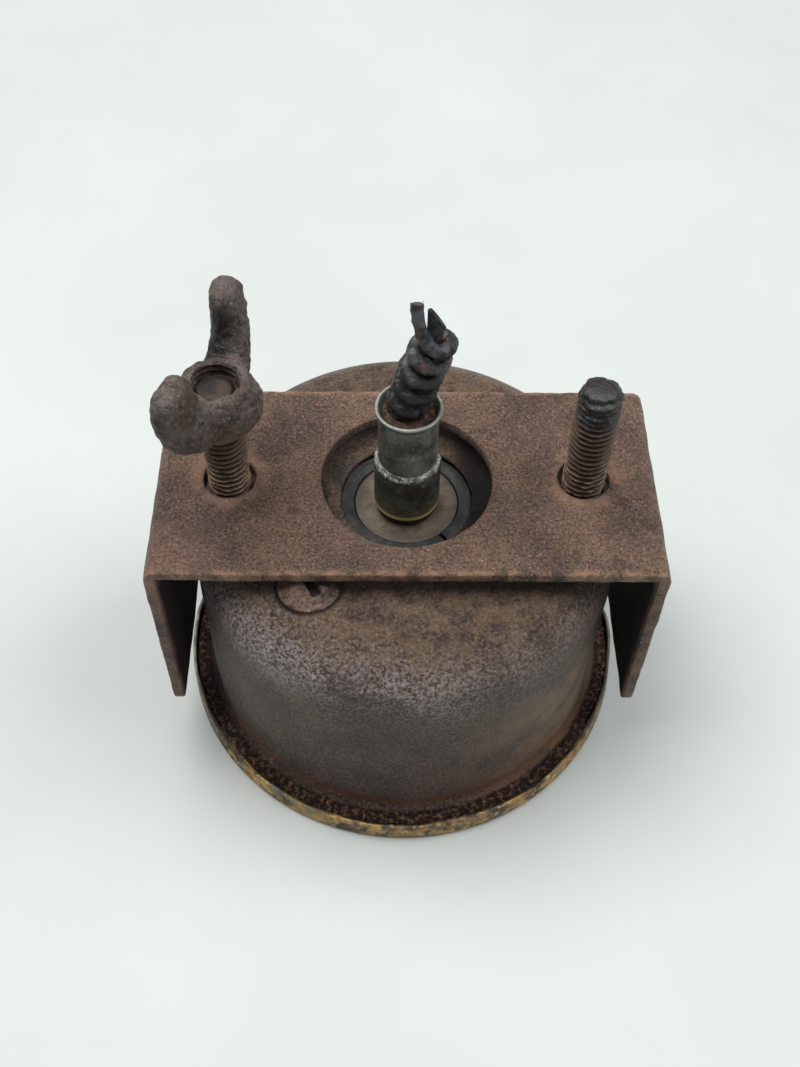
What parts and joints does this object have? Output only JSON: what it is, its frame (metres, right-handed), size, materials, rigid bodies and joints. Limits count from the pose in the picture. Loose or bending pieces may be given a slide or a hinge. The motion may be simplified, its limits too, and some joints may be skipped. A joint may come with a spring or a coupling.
{
  "type": "panel dial gauge",
  "caption": "Round panel dial gauge with a drawn steel case, thin bezel, U-shaped clamp bracket on threaded studs, wing nut and a broken-off armoured capillary.",
  "frame": {"origin": "centre of the bezel's front face, with the gauge lying on its face", "axes": "+Z along the dial's axis, out of the back; +Y towards the top of the dial; +X across the bracket, through the two studs"},
  "size_m": [0.0584, 0.0574, 0.0634],
  "materials": {
    "rusted_steel": "rusted, pitted",
    "dark_steel": "dull, tarnished",
    "cast_iron": "rough cast",
    "bezel_brass": "corroded",
    "movement_brass": "satin",
    "bright_steel": "satin",
    "rubber": "perished",
    "compound": "matte",
    "dial_paint": "matte",
    "pointer_paint": "matte",
    "glass": "clear"
  },
  "bodies": {
    "case": {"case_shell": "rusted_steel", "bezel_ring": "bezel_brass", "glass_lens": "glass", "glass_gasket": "rubber", "spacer_ring": "bright_steel", "dial_plate": "dial_paint", "dial_post_1": "movement_brass", "dial_post_2": "movement_brass", "dial_screw_1": "bright_steel", "dial_screw_2": "bright_steel", "movement_front_plate": "movement_brass", "movement_back_plate": "movement_brass", "movement_pillar_1": "movement_brass", "movement_pillar_2": "movement_brass", "movement_pillar_3": "movement_brass", "movement_post_1": "movement_brass", "movement_post_2": "movement_brass", "spring_stud": "movement_brass", "hairspring": "movement_brass", "tip_pin": "bright_steel", "bourdon_tube": "movement_brass", "bourdon_tip": "movement_brass", "socket_block": "movement_brass", "base_bridge": "dark_steel", "boss_disc": "compound", "seal_ring": "rubber", "fitting_collar": "dark_steel", "ferrule_sleeve": "dark_steel", "sealing_plug": "compound", "armour_spiral": "dark_steel", "capillary_tube": "bright_steel", "stud_left": "dark_steel", "stud_right": "dark_steel", "stud_nut_left": "dark_steel", "stud_nut_right": "dark_steel", "back_screw_1": "rusted_steel", "back_screw_2": "rusted_steel"},
    "bracket": {"clamp_bracket": "rusted_steel"},
    "wing_nut": {"wing_nut": "cast_iron"},
    "pointer": {"pointer": "pointer_paint", "pinion_arbor": "bright_steel"},
    "sector": {"sector_gear": "movement_brass", "sector_arbor": "bright_steel", "link_pin": "bright_steel"},
    "link": {"link_bar": "bright_steel"}
  },
  "joints": [
    {"name": "bracket_slide", "type": "slide", "parent": "case", "child": "bracket", "axis": [0, 0, 1], "range_m": [0, 0.0098]},
    {"name": "wing_nut_turn", "type": "hinge", "parent": "case", "child": "wing_nut", "pos_m": [-0.0205, 0, 0.049], "axis": [0, 0, 1], "continuous": true},
    {"name": "sector_swing", "type": "hinge", "parent": "case", "child": "sector", "pos_m": [-0.0147, 0, 0.012], "axis": [0, 0, 1], "range_deg": [-42, 0], "stiffness_Nm_per_rad": 0.001},
    {"name": "pointer_turn", "type": "hinge", "parent": "case", "child": "pointer", "pos_m": [0, 0, 0.008], "axis": [0, 0, 1], "range_deg": [0, 252], "deforming": ["hairspring"]},
    {"name": "link_turn", "type": "hinge", "parent": "sector", "child": "link", "pos_m": [-0.01653, -0.00411, 0.0128], "axis": [0, 0, 1], "range_deg": [0, 42]}
  ],
  "couplings": [
    {"joint": "pointer_turn", "follows": "sector_swing", "ratio": -6},
    {"joint": "link_turn", "follows": "sector_swing", "ratio": -1}
  ]
}
